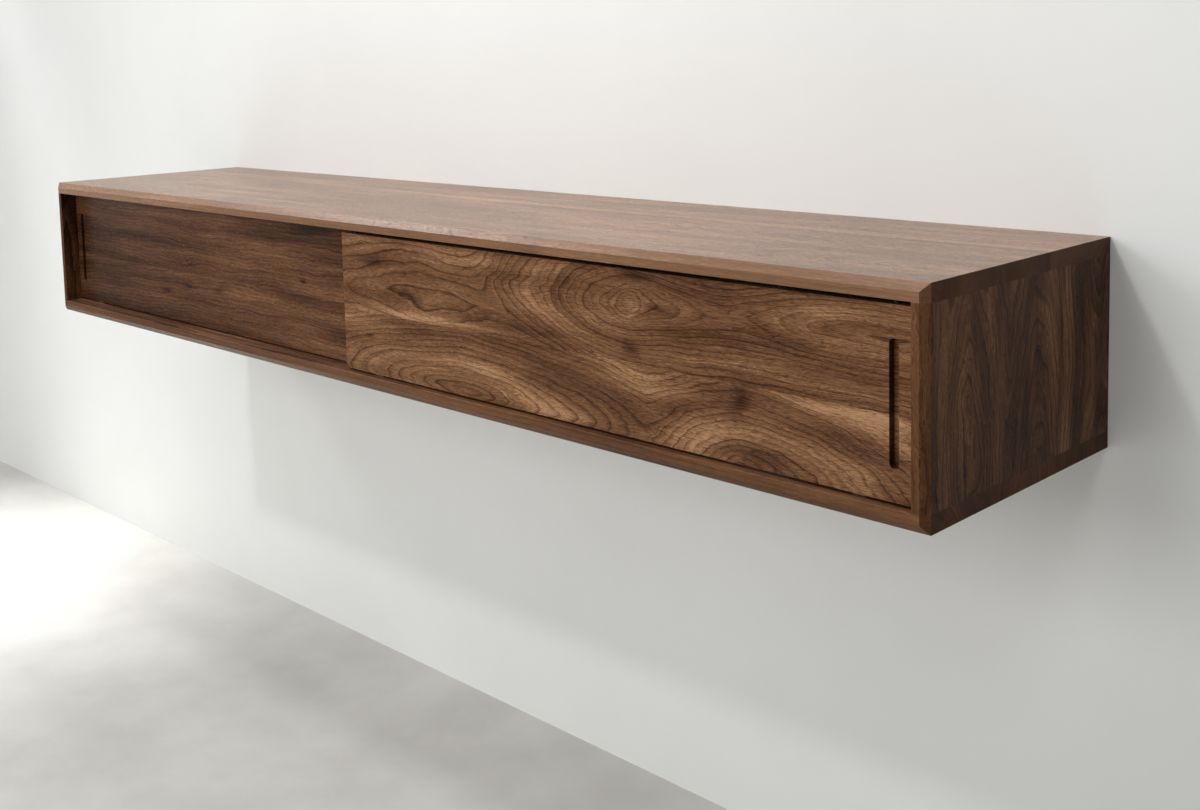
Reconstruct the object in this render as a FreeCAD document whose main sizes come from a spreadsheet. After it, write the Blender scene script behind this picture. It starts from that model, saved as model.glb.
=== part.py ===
import FreeCAD, Part

import math
import os
import re

import Sketcher

# A wall-hung walnut media console with two sliding doors that pass each other.
#
# Millimetres. X runs along the wall, with +X to the right as the doors are faced, -Y comes
# out of the wall towards the room and +Z is up. The back of the case lies in the plane Y = 0.
# Pieces of the case are drawn with Z = 0 at the console's underside, and each finished piece is
# then lowered by fixing_height, so that the part's origin is the middle of the line of screw
# holes in the wall cleat. Pieces of a door are drawn from the middle of its lower front edge.

doc = FreeCAD.newDocument("floating_media_console")

# ---------------------------------------------------------------- driving sizes

SIZES = [
    ("case_length", 1940.0, "overall length along the wall"),
    ("case_depth", 406.0, "front plane to wall, 16 inches"),
    ("case_height", 254.0, "underside to top, 10 inches"),
    ("board_thickness", 20.5, "top and bottom boards"),
    ("end_thickness", 19.0, "end boards, three-quarter stock"),
    ("chamfer_face", 9.4, "front perimeter chamfer, measured on the front face"),
    ("chamfer_depth", 6.7, "front perimeter chamfer, measured back from the front"),
    ("top_back_width", 152.0, "rear board of the glued top"),
    ("bottom_front_width", 120.0, "front board of the glued bottom"),
    ("bottom_back_width", 133.0, "rear board of the glued bottom"),
    ("end_back_width", 129.0, "rear board of each glued end"),
    ("divider_thickness", 19.0, "upright between the two bays"),
    ("divider_clearance", 3.0, "rear door to the divider's front edge"),
    ("back_thickness", 6.0, "veneered back panels"),
    ("back_groove", 7.0, "how deep the grooves for the backs are"),
    ("back_edge_gap", 0.5, "back panel edge to the groove's floor"),
    ("back_face_gap", 0.15, "back panel face to the groove's wall"),
    ("outlet_length", 120.0, "cable outlet in each back"),
    ("outlet_width", 40.0, "cable outlet in each back"),
    ("passage_length", 70.0, "cable passage through the divider"),
    ("cleat_thickness", 19.0, "wall cleat, hanging rail and lower spacer"),
    ("cleat_gap", 1.0, "cleats to the back panels"),
    ("cleat_end_play", 12.0, "each end of the wall cleat to the end board"),
    ("wall_cleat_height", 52.0, "wall cleat, measured on its wall face"),
    ("hanging_rail_height", 70.0, "hanging rail, measured on its wall face"),
    ("seat_gap", 0.1, "hanging rail above the wall cleat's slope"),
    ("spacer_height", 40.0, "lower spacer strip"),
    ("stud_spacing", 406.4, "wall screw holes, 16 inches apart"),
    ("fixing_radius", 3.25, "wall screw holes"),
    ("fixing_head_radius", 8.0, "counterbores for the wall screws"),
    ("fixing_head_depth", 6.0, "counterbores for the wall screws"),
    ("tenon_thickness", 8.0, "loose tenons"),
    ("tenon_width", 24.0, "loose tenons"),
    ("tenon_in_end", 26.0, "loose tenon's reach into the end grain"),
    ("tenon_in_board", 13.5, "loose tenon's reach into top or bottom"),
    ("tenon_front_inset", 60.0, "first tenon from the front"),
    ("tenon_back_inset", 86.0, "last tenon from the wall"),
    ("dowel_radius", 4.0, "beech dowels"),
    ("dowel_in_board", 12.0, "dowel's reach into top, bottom or end"),
    ("dowel_in_edge", 18.0, "dowel's reach into a divider, rail or spacer"),
    ("rail_dowel_inset", 60.0, "first dowel from each end of a rail"),
    ("glue_gap", 0.1, "play around tenons and dowels"),
    ("door_thickness", 18.0, "sliding doors"),
    ("door_recess", 8.5, "front door's face behind the front plane"),
    ("door_spacing", 3.0, "between the two doors"),
    ("door_overlap", 34.0, "front door over the rear one, both shut"),
    ("door_end_gap", 1.0, "door edge to the end board at a stop"),
    ("sill_gap", 3.0, "below the doors"),
    ("head_gap", 6.0, "above the doors, room to lift them out"),
    ("door_lower_width", 91.0, "lower board of each glued door"),
    ("pull_width", 11.0, "routed finger pull"),
    ("pull_length", 134.5, "routed finger pull"),
    ("pull_depth", 9.5, "routed finger pull"),
    ("pull_inset", 23.0, "pull's centre from the door's outer edge"),
    ("track_width", 7.0, "plastic track let into the bottom"),
    ("track_height", 6.2, "plastic track let into the bottom"),
    ("track_slot_width", 3.2, "slot in which the rollers run"),
    ("track_slot_depth", 4.0, "slot in which the rollers run"),
    ("channel_width", 10.0, "plastic channel let into the top"),
    ("channel_height", 9.5, "plastic channel let into the top"),
    ("channel_slot_width", 6.6, "slot in which the guide pins run"),
    ("channel_slot_depth", 7.5, "slot in which the guide pins run"),
    ("stop_gap", 0.3, "guide pin to its rubber stop"),
    ("roller_radius", 11.0, "rollers"),
    ("roller_width", 2.6, "rollers"),
    ("roller_lift", 0.3, "roller above the floor of its slot"),
    ("roller_rim", 0.4, "chamfer on a roller's rim"),
    ("roller_hub_radius", 3.5, "roller hub"),
    ("roller_hub_gap", 0.1, "roller hub to the housing, each side"),
    ("roller_inset", 70.0, "roller's axle from the door's edge"),
    ("axle_radius", 1.5, "roller axles"),
    ("axle_fit", 0.02, "axle in its housing"),
    ("axle_running_gap", 0.05, "roller on its axle"),
    ("housing_length", 34.0, "roller housing"),
    ("housing_width", 11.0, "roller housing"),
    ("housing_height", 20.0, "roller housing"),
    ("housing_well_width", 3.6, "slot for the roller in its housing"),
    ("housing_well_gap", 1.2, "roller's rim to the housing"),
    ("flange_length", 60.0, "screw flange under a roller housing"),
    ("flange_thickness", 2.5, "screw flange under a roller housing"),
    ("flange_screw_inset", 6.5, "flange screw from the flange's end"),
    ("flange_screw_radius", 1.5, "flange screws"),
    ("flange_screw_length", 16.0, "flange screws"),
    ("rail_screw_radius", 2.25, "screws from rail and spacer into the divider"),
    ("rail_screw_length", 50.0, "screws from rail and spacer into the divider"),
    ("rail_screw_spread", 22.0, "between the two screws in the hanging rail"),
    ("pilot_gap", 0.05, "play around screws, pins and housings"),
    ("pin_radius", 3.0, "guide pin above the door"),
    ("pin_stem_radius", 4.0, "guide pin's stem in the door"),
    ("pin_stem_length", 20.0, "guide pin's stem in the door"),
    ("pin_engagement", 3.0, "guide pin's reach into its channel"),
    ("pin_inset", 25.0, "guide pin from the door's edge"),
]

# How many fasteners stand in each row.
RAIL_DOWEL_COUNT = 8
SPACER_DOWEL_COUNT = 6
WALL_SCREW_COUNT = 4

HEAD_RATIO = 2.0  # a countersunk head is twice as wide as its shank

# Lengths worked out from the driving sizes.
DERIVED = {
    "inner_half": "case_length / 2 - end_thickness",
    "top_underside": "case_height - board_thickness",
    "cleat_foot": "top_underside - hanging_rail_height - seat_gap - wall_cleat_height",
    "fixing_height": "cleat_foot + wall_cleat_height / 2",
    "front_door_face": "door_recess - case_depth",
    "rear_door_face": "front_door_face + door_thickness + door_spacing",
    "front_track_line": "front_door_face + door_thickness / 2",
    "rear_track_line": "rear_door_face + door_thickness / 2",
    "divider_front": "rear_door_face + door_thickness + divider_clearance",
    "door_height": "top_underside - board_thickness - sill_gap - head_gap",
    "door_width": "inner_half - door_end_gap + door_overlap / 2",
    "door_middle": "inner_half - door_end_gap - door_width / 2",
    "door_underside": "board_thickness + sill_gap",
    "back_far_face": "-(cleat_thickness + cleat_gap)",
    "back_near_face": "back_far_face - back_thickness",
    "outlet_height": "(board_thickness + spacer_height + cleat_foot) / 2",
    "bay_middle": "(divider_thickness / 2 + inner_half) / 2",
    "first_row": "tenon_front_inset - case_depth",
    "last_row": "-tenon_back_inset",
    "middle_row": "(first_row + last_row) / 2",
    "rail_reach": "inner_half - rail_dowel_inset",
    "rail_middle": "(top_underside * 2 - hanging_rail_height + cleat_thickness) / 2",
    "spacer_middle": "board_thickness + spacer_height / 2",
    "axle_height": "roller_radius + roller_lift - track_slot_depth - sill_gap",
    "door_core": "door_thickness / 2",
}
ROWS = ("first_row", "middle_row", "last_row")
SIDES = (("left", -1), ("right", 1))

sheet = doc.addObject("Spreadsheet::Sheet", "Sizes")
for row, (alias, size, meaning) in enumerate(SIZES, start=1):
    sheet.set(f"A{row}", meaning)
    sheet.set(f"B{row}", str(size))
    sheet.setAlias(f"B{row}", alias)
doc.recompute()
ALIASES = {alias for alias, _, _ in SIZES}


def bound(formula):
    """A formula in the names above, written as an expression on the sheet's cells."""
    def swap(match):
        word = match.group()
        if word in DERIVED:
            return f"({bound(DERIVED[word])})"
        return f"Sizes.{word}" if word in ALIASES else word
    return re.sub(r"[a-z_]+", swap, str(formula))


def value(formula):
    return float(sheet.evalExpression(bound(formula)))


# ---------------------------------------------------------------- sketches and features

NORMALS = {"XY_Plane": 1, "XZ_Plane": -1, "YZ_Plane": 1}


def new_body(label):
    body = doc.addObject("PartDesign::Body", label)
    body.Label = label
    body.AllowCompound = True
    return body


def draw(body, plane, level="0"):
    """A sketch on one of the body's own planes, moved to level along the plane's third axis."""
    role = plane + "_Plane"
    sketch = body.newObject("Sketcher::SketchObject", "Outline")
    support = next(f for f in body.Origin.OriginFeatures if f.Role == role)
    sketch.AttachmentSupport = [(support, "")]
    sketch.MapMode = "FlatFace"
    sketch.setExpression("AttachmentOffset.Base.z", bound(f"({level}) * {NORMALS[role]}"))
    return sketch


def hold(sketch, kind, item, vertex, formula):
    """Ties one point or radius of a sketch to a formula."""
    point = (item, vertex) if vertex is None else (-1, 1, item, vertex)
    numbers = [part for part in point if part is not None] + [value(formula)]
    index = sketch.addConstraint(Sketcher.Constraint(kind, *numbers))
    sketch.setExpression(f"Constraints[{index}]", bound(formula))


def polygon(sketch, corners):
    first = sketch.GeometryCount
    count = len(corners)
    points = [FreeCAD.Vector(value(x), value(y), 0) for x, y in corners]
    sketch.addGeometry([Part.LineSegment(points[i], points[(i + 1) % count]) for i in range(count)])
    sketch.addConstraint([
        Sketcher.Constraint("Coincident", first + i, 2, first + (i + 1) % count, 1)
        for i in range(count)
    ])
    for i, (x, y) in enumerate(corners):
        hold(sketch, "DistanceX", first + i, 1, x)
        hold(sketch, "DistanceY", first + i, 1, y)


def rectangle(sketch, left, right, low, high):
    polygon(sketch, [(left, low), (right, low), (right, high), (left, high)])


def circle(sketch, x, y, radius):
    item = sketch.GeometryCount
    centre = FreeCAD.Vector(value(x), value(y), 0)
    sketch.addGeometry(Part.Circle(centre, FreeCAD.Vector(0, 0, 1), value(radius)))
    hold(sketch, "DistanceX", item, 3, x)
    hold(sketch, "DistanceY", item, 3, y)
    hold(sketch, "Radius", item, None, radius)


def stadium(sketch, x, y, length, width, upright=True):
    """A slot with round ends: length is end to end, along the sketch's Y if upright, else its X."""
    first = sketch.GeometryCount
    radius = f"({width}) / 2"
    reach = f"({length}) / 2 - {radius}"
    ends = [(f"{x}", f"{y} + {s} * ({reach})") if upright else (f"{x} + {s} * ({reach})", f"{y}")
            for s in (1, -1)]
    arcs = []
    for half_turns, (cx, cy) in enumerate(ends):
        centre = FreeCAD.Vector(value(cx), value(cy), 0)
        round_end = Part.Circle(centre, FreeCAD.Vector(0, 0, 1), value(radius))
        start = (half_turns if upright else half_turns - 0.5) * math.pi
        arcs.append(Part.ArcOfCircle(round_end, start, start + math.pi))
    sides = [Part.LineSegment(arcs[i].EndPoint, arcs[1 - i].StartPoint) for i in (0, 1)]
    sketch.addGeometry([arcs[0], sides[0], arcs[1], sides[1]])
    sketch.addConstraint([
        Sketcher.Constraint("Tangent", first + i, 2, first + (i + 1) % 4, 1) for i in range(4)
    ])
    for item, (cx, cy) in ((first, ends[0]), (first + 2, ends[1])):
        hold(sketch, "DistanceX", item, 3, cx)
        hold(sketch, "DistanceY", item, 3, cy)
    hold(sketch, "Radius", first, None, radius)


def extrude(kind, body, sketch, length, toward):
    """A Pad or Pocket of that length, towards the + (1) or - (-1) end of the plane's third axis."""
    feature = body.newObject(f"PartDesign::{kind}", kind)
    feature.Profile = sketch
    feature.setExpression("Length", bound(length))
    natural = NORMALS[sketch.AttachmentSupport[0][0].Role] * (1 if kind == "Pad" else -1)
    feature.Reversed = natural != toward
    return feature


def pad(body, sketch, length, toward=1):
    return extrude("Pad", body, sketch, length, toward)


def pocket(body, sketch, length, toward=1):
    doc.recompute()
    before = body.Shape.Volume
    extrude("Pocket", body, sketch, length, toward)
    doc.recompute()
    if body.Shape.Volume > before - 0.01:
        raise RuntimeError(f"a pocket in {body.Label} cuts nothing")


def place(piece, x="0", y="0", z="0"):
    for axis, formula in zip("xyz", (x, y, z)):
        piece.setExpression(f"Placement.Base.{axis}", bound(formula))


nodes = []


def keep(piece, x="0", y="0", z="-fixing_height"):
    """Puts a finished piece in its place and marks it for export."""
    place(piece, x, y, z)
    nodes.append(piece)
    return piece


def cut_piece(label, stock, tool):
    """The stock with the tool's mortises, holes and grooves cut into it."""
    stock.Label = label + "_stock"
    piece = doc.addObject("Part::Cut", label)
    piece.Label = label
    piece.Base = stock
    piece.Tool = tool
    return piece


def screws(label, where, along, radius, length, gap="0"):
    """Countersunk screws as one group: head level with each point, shank running along an axis."""
    turns = {"+Z": FreeCAD.Rotation(), "-Y": FreeCAD.Rotation(FreeCAD.Vector(1, 0, 0), 90)}
    step = {"+Z": ("{x}", "{y}", "{z} + {d}"), "-Y": ("{x}", "{y} - ({d})", "{z}")}[along]
    head = f"({radius}) * {HEAD_RATIO - 1}"
    made = []
    for x, y, z in where:
        parts = [
            ("Part::Cone", "0", head, f"({radius}) * {HEAD_RATIO} + {gap}", f"{radius} + {gap}"),
            ("Part::Cylinder", head, f"({length}) * 0.8 - {head}", f"{radius} + {gap}", None),
            ("Part::Cone", f"({length}) * 0.8", f"({length}) * 0.2 + {gap}", f"{radius} + {gap}", "0.2"),
        ]
        solids = []
        for kind, start, height, wide, narrow in parts:
            solid = doc.addObject(kind, "Shank")
            solid.Placement = FreeCAD.Placement(FreeCAD.Vector(), turns[along])
            solid.setExpression("Height", bound(height))
            solid.setExpression("Radius" if narrow is None else "Radius1", bound(wide))
            if narrow is not None:
                solid.setExpression("Radius2", bound(narrow))
            place(solid, *(t.format(x=x, y=y, z=z, d=start) for t in step))
            solids.append(solid)
        screw = doc.addObject("Part::MultiFuse", "Screw")
        screw.Shapes = solids
        made.append(screw)
    return group(label, made)


def group(label, members):
    bundle = doc.addObject("Part::Compound", label)
    bundle.Label = label
    bundle.Links = members
    return bundle


# ---------------------------------------------------------------- joinery of the case

def draw_tenons(body, gap):
    """Loose tenons that pin each end between the top and the bottom."""
    for foot in ("board_thickness - tenon_in_board", "top_underside - tenon_in_end"):
        sketch = draw(body, "XY", f"{foot} - {gap}")
        for _, side in SIDES:
            for row in ROWS:
                middle = f"{side} * (case_length - end_thickness) / 2"
                stadium(sketch, middle, row, f"tenon_width + 2 * {gap}", f"tenon_thickness + 2 * {gap}")
        pad(body, sketch, f"tenon_in_board + tenon_in_end + 2 * {gap}")


def draw_upright_dowels(body, gap, points, at_top, at_bottom):
    """Dowels up into the top and down into the bottom, at points given in plan."""
    levels = [("top_underside - dowel_in_edge", at_top), ("board_thickness - dowel_in_board", at_bottom)]
    for foot, wanted in levels:
        if wanted:
            sketch = draw(body, "XY", f"{foot} - {gap}")
            for x, y in points:
                circle(sketch, x, y, f"dowel_radius + {gap}")
            pad(body, sketch, f"dowel_in_board + dowel_in_edge + 2 * {gap}")


def draw_end_dowels(body, gap, heights):
    """Dowels from both ends of a rail into the end boards."""
    for foot in (f"inner_half - dowel_in_edge - {gap}", f"-inner_half - dowel_in_board - {gap}"):
        sketch = draw(body, "YZ", foot)
        for height in heights:
            circle(sketch, "-cleat_thickness / 2", height, f"dowel_radius + {gap}")
        pad(body, sketch, f"dowel_in_board + dowel_in_edge + 2 * {gap}")


def spread(count, reach):
    """Places spaced evenly from -reach to +reach."""
    return [f"{reach} * {2 * i / (count - 1) - 1}" for i in range(count)]


def draw_divider_dowels(body, gap):
    draw_upright_dowels(body, gap, [("0", row) for row in ROWS], True, True)


def draw_rail_dowels(body, gap):
    points = [(x, "-cleat_thickness / 2") for x in spread(RAIL_DOWEL_COUNT, "rail_reach")]
    draw_upright_dowels(body, gap, points, True, False)
    heights = [f"rail_middle {sign} rail_screw_spread / 2" for sign in "+-"]
    draw_end_dowels(body, gap, heights)


def draw_spacer_dowels(body, gap):
    points = [(x, "-cleat_thickness / 2") for x in spread(SPACER_DOWEL_COUNT, "rail_reach")]
    draw_upright_dowels(body, gap, points, False, True)
    draw_end_dowels(body, gap, ["spacer_middle"])


def draw_back(body, side, edge_gap="0", face_gap="0"):
    """The outline of one back panel, or with gaps, of the grooves that hold it."""
    near = f"divider_thickness / 2 - back_groove + back_edge_gap - {edge_gap}"
    far = f"inner_half + back_groove - back_edge_gap + {edge_gap}"
    sketch = draw(body, "XZ", f"back_near_face - {face_gap}")
    rectangle(sketch, *sorted((f"{side} * ({near})", f"{side} * ({far})"), key=value),
              f"board_thickness - back_groove + back_edge_gap - {edge_gap}",
              f"top_underside + back_groove - back_edge_gap + {edge_gap}")
    pad(body, sketch, f"back_thickness + 2 * {face_gap}")


joinery = new_body("joinery")
draw_tenons(joinery, "glue_gap")
for draw_dowels in (draw_divider_dowels, draw_rail_dowels, draw_spacer_dowels):
    draw_dowels(joinery, "glue_gap")
for _, side in SIDES:
    draw_back(joinery, side, "back_edge_gap", "back_face_gap")
for line in ("front_track_line", "rear_track_line"):
    grooves = draw(joinery, "YZ", "-inner_half")
    rectangle(grooves, f"{line} - track_width / 2", f"{line} + track_width / 2",
              "board_thickness - track_height", "board_thickness")
    rectangle(grooves, f"{line} - channel_width / 2", f"{line} + channel_width / 2",
              "top_underside", "top_underside + channel_height")
    pad(joinery, grooves, "2 * inner_half")

SCREW_POINTS = [("0", "0", f"rail_middle {sign} rail_screw_spread / 2") for sign in "+-"]
SCREW_POINTS.append(("0", "0", "spacer_middle"))
screw_holes = screws("screw_holes", SCREW_POINTS, "-Y", "rail_screw_radius", "rail_screw_length", "pilot_gap")
case_cuts = group("case_cuts", [joinery, screw_holes])

for label, draw_fasteners in (
    ("corner_tenons", draw_tenons),
    ("divider_dowels", draw_divider_dowels),
    ("rail_dowels", draw_rail_dowels),
    ("spacer_dowels", draw_spacer_dowels),
):
    fasteners = new_body(label)
    draw_fasteners(fasteners, "0")
    keep(fasteners)
keep(screws("divider_screws", SCREW_POINTS, "-Y", "rail_screw_radius", "rail_screw_length"))

# ---------------------------------------------------------------- boards of the case


def cut_front_corners(body, low, high):
    """The perimeter chamfer where it turns down the ends of a top or bottom board."""
    for _, side in SIDES:
        sketch = draw(body, "XY", low)
        end = f"{side} * case_length / 2"
        polygon(sketch, [
            (end, "-case_depth"),
            (end, "chamfer_depth - case_depth"),
            (f"{side} * (case_length / 2 - chamfer_face)", "-case_depth"),
        ])
        pocket(body, sketch, f"{high} - ({low})")


def long_board(label, low, high, near, far, chamfered=None):
    """A board of the top or bottom, near and far being its edges in Y. A front board has the
    perimeter chamfer along its upper or lower front edge and round both front corners."""
    stock = new_body(label + "_stock")
    if chamfered == "upper":
        front = [(f"{near} + chamfer_depth", high), (near, f"{high} - chamfer_face"), (near, low)]
    elif chamfered == "lower":
        front = [(near, high), (near, f"{low} + chamfer_face"), (f"{near} + chamfer_depth", low)]
    else:
        front = [(near, high), (near, low)]
    profile = draw(stock, "YZ", "-case_length / 2")
    polygon(profile, front + [(far, low), (far, high)])
    pad(stock, profile, "case_length")
    if chamfered:
        cut_front_corners(stock, low, high)
    return keep(cut_piece(label, stock, case_cuts))


BOTTOM = ("0", "board_thickness")
TOP = ("top_underside", "case_height")
long_board("top_front_board", *TOP, "-case_depth", "-top_back_width", "upper")
long_board("top_back_board", *TOP, "-top_back_width", "0")
long_board("bottom_front_board", *BOTTOM, "-case_depth", "bottom_front_width - case_depth", "lower")
long_board("bottom_middle_board", *BOTTOM, "bottom_front_width - case_depth", "-bottom_back_width")
long_board("bottom_back_board", *BOTTOM, "-bottom_back_width", "0")

for name, side in SIDES:
    outer = f"{side} * case_length / 2"
    inner = f"{side} * inner_half"
    front_end = new_body(f"{name}_end_front_board_stock")
    plan = draw(front_end, "XY", "board_thickness")
    polygon(plan, [
        (inner, "-case_depth"),
        (f"{side} * (case_length / 2 - chamfer_face)", "-case_depth"),
        (outer, "chamfer_depth - case_depth"),
        (outer, "-end_back_width"),
        (inner, "-end_back_width"),
    ])
    pad(front_end, plan, "top_underside - board_thickness")
    keep(cut_piece(f"{name}_end_front_board", front_end, case_cuts))

    back_end = new_body(f"{name}_end_back_board_stock")
    plan = draw(back_end, "XY", "board_thickness")
    rectangle(plan, *sorted((inner, outer), key=value), "-end_back_width", "0")
    pad(back_end, plan, "top_underside - board_thickness")
    keep(cut_piece(f"{name}_end_back_board", back_end, case_cuts))

# The divider carries the middle of the top, and a slot near its back lets cables pass between
# the bays.
divider = new_body("centre_divider_stock")
side_view = draw(divider, "YZ", "-divider_thickness / 2")
rectangle(side_view, "divider_front", "-cleat_thickness", "board_thickness", "top_underside")
pad(divider, side_view, "divider_thickness")
passage = draw(divider, "YZ", "-divider_thickness / 2")
stadium(passage, "back_near_face - passage_length", "outlet_height", "passage_length", "outlet_width", False)
pocket(divider, passage, "divider_thickness")
keep(cut_piece("centre_divider", divider, case_cuts))

# Back panels stand in grooves, and each has a cable outlet between the spacer and the cleat.
for name, side in SIDES:
    back = new_body(f"{name}_back_panel")
    draw_back(back, side)
    outlet = draw(back, "XZ", "back_near_face")
    stadium(outlet, f"{side} * bay_middle", "outlet_height", "outlet_length", "outlet_width", False)
    pocket(back, outlet, "back_thickness")
    keep(back)

# ---------------------------------------------------------------- hanging parts

# The rail's lower edge slopes down to the wall and drops behind the wall cleat's upper edge.
rail = new_body("hanging_rail_stock")
section = draw(rail, "YZ", "-inner_half")
polygon(section, [
    ("0", "top_underside"),
    ("-cleat_thickness", "top_underside"),
    ("-cleat_thickness", "top_underside - hanging_rail_height + cleat_thickness"),
    ("0", "top_underside - hanging_rail_height"),
])
pad(rail, section, "2 * inner_half")
keep(cut_piece("hanging_rail", rail, case_cuts))

spacer = new_body("lower_spacer_stock")
section = draw(spacer, "YZ", "-inner_half")
rectangle(section, "-cleat_thickness", "0", "board_thickness", "board_thickness + spacer_height")
pad(spacer, section, "2 * inner_half")
keep(cut_piece("lower_spacer", spacer, case_cuts))

cleat = new_body("wall_cleat")
section = draw(cleat, "YZ", "cleat_end_play - inner_half")
polygon(section, [
    ("0", "cleat_foot"),
    ("0", "cleat_foot + wall_cleat_height"),
    ("-cleat_thickness", "cleat_foot + wall_cleat_height + cleat_thickness"),
    ("-cleat_thickness", "cleat_foot"),
])
pad(cleat, section, "2 * (inner_half - cleat_end_play)")
FIXINGS = spread(WALL_SCREW_COUNT, f"stud_spacing * {(WALL_SCREW_COUNT - 1) / 2}")
for radius, depth in (("fixing_radius", "cleat_thickness"), ("fixing_head_radius", "fixing_head_depth")):
    holes = draw(cleat, "XZ", "-cleat_thickness")
    for x in FIXINGS:
        circle(holes, x, "fixing_height", radius)
    pocket(cleat, holes, depth)
keep(cleat)

# ---------------------------------------------------------------- tracks, channels and stops

for name, line in (("front", "front_track_line"), ("rear", "rear_track_line")):
    track = new_body(f"{name}_bottom_track")
    section = draw(track, "YZ", "-inner_half")
    polygon(section, [
        (f"{line} - track_width / 2", "board_thickness - track_height"),
        (f"{line} + track_width / 2", "board_thickness - track_height"),
        (f"{line} + track_width / 2", "board_thickness"),
        (f"{line} + track_slot_width / 2", "board_thickness"),
        (f"{line} + track_slot_width / 2", "board_thickness - track_slot_depth"),
        (f"{line} - track_slot_width / 2", "board_thickness - track_slot_depth"),
        (f"{line} - track_slot_width / 2", "board_thickness"),
        (f"{line} - track_width / 2", "board_thickness"),
    ])
    pad(track, section, "2 * inner_half")
    keep(track)

    channel = new_body(f"{name}_top_channel")
    section = draw(channel, "YZ", "-inner_half")
    polygon(section, [
        (f"{line} - channel_width / 2", "top_underside + channel_height"),
        (f"{line} - channel_width / 2", "top_underside"),
        (f"{line} - channel_slot_width / 2", "top_underside"),
        (f"{line} - channel_slot_width / 2", "top_underside + channel_slot_depth"),
        (f"{line} + channel_slot_width / 2", "top_underside + channel_slot_depth"),
        (f"{line} + channel_slot_width / 2", "top_underside"),
        (f"{line} + channel_width / 2", "top_underside"),
        (f"{line} + channel_width / 2", "top_underside + channel_height"),
    ])
    pad(channel, section, "2 * inner_half")
    keep(channel)

# A rubber block in each end of each channel meets a door's guide pin just before the door's
# edge would meet the end board.
stops = new_body("channel_stops")
plan = draw(stops, "XY", "top_underside")
for line in ("front_track_line", "rear_track_line"):
    for _, side in SIDES:
        pin_face = f"{side} * (inner_half - door_end_gap - pin_inset + pin_radius + stop_gap)"
        rectangle(plan, *sorted((pin_face, f"{side} * inner_half"), key=value),
                  f"{line} - channel_slot_width / 2", f"{line} + channel_slot_width / 2")
pad(stops, plan, "channel_slot_depth")
keep(stops)

# ---------------------------------------------------------------- doors

# Each door is two boards glued edge to edge. Two plastic housings are let into its lower edge,
# each with a roller on a steel axle, and two nylon pins stand in its upper edge.

ROLLER_PLACES = [f"{sign}(door_width / 2 - roller_inset)" for sign in ("", "-")]
PIN_PLACES = [f"{sign}(door_width / 2 - pin_inset)" for sign in ("", "-")]


def draw_housings(body, gap):
    for length, height in (("housing_length", "housing_height"), ("flange_length", "flange_thickness")):
        plan = draw(body, "XY")
        for x in ROLLER_PLACES:
            rectangle(plan, f"{x} - {length} / 2 - {gap}", f"{x} + {length} / 2 + {gap}",
                      f"door_core - housing_width / 2 - {gap}", f"door_core + housing_width / 2 + {gap}")
        pad(body, plan, f"{height} + {gap}")


def draw_axles(body, gap, play="0"):
    side_view = draw(body, "XZ", f"door_core - housing_width / 2 - {play}")
    for x in ROLLER_PLACES:
        circle(side_view, x, "axle_height", f"axle_radius + {gap}")
    pad(body, side_view, f"housing_width + 2 * {play}")


def draw_pins(body, gap):
    stems = draw(body, "XY", f"door_height - pin_stem_length - {gap}")
    for x in PIN_PLACES:
        circle(stems, x, "door_core", f"pin_stem_radius + {gap}")
    pad(body, stems, f"pin_stem_length + {gap}")


def door_screw_points():
    reach = "(flange_length / 2 - flange_screw_inset)"
    return [(f"{x} + {s} * {reach}", "door_core", "0") for x in ROLLER_PLACES for s in (-1, 1)]


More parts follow.
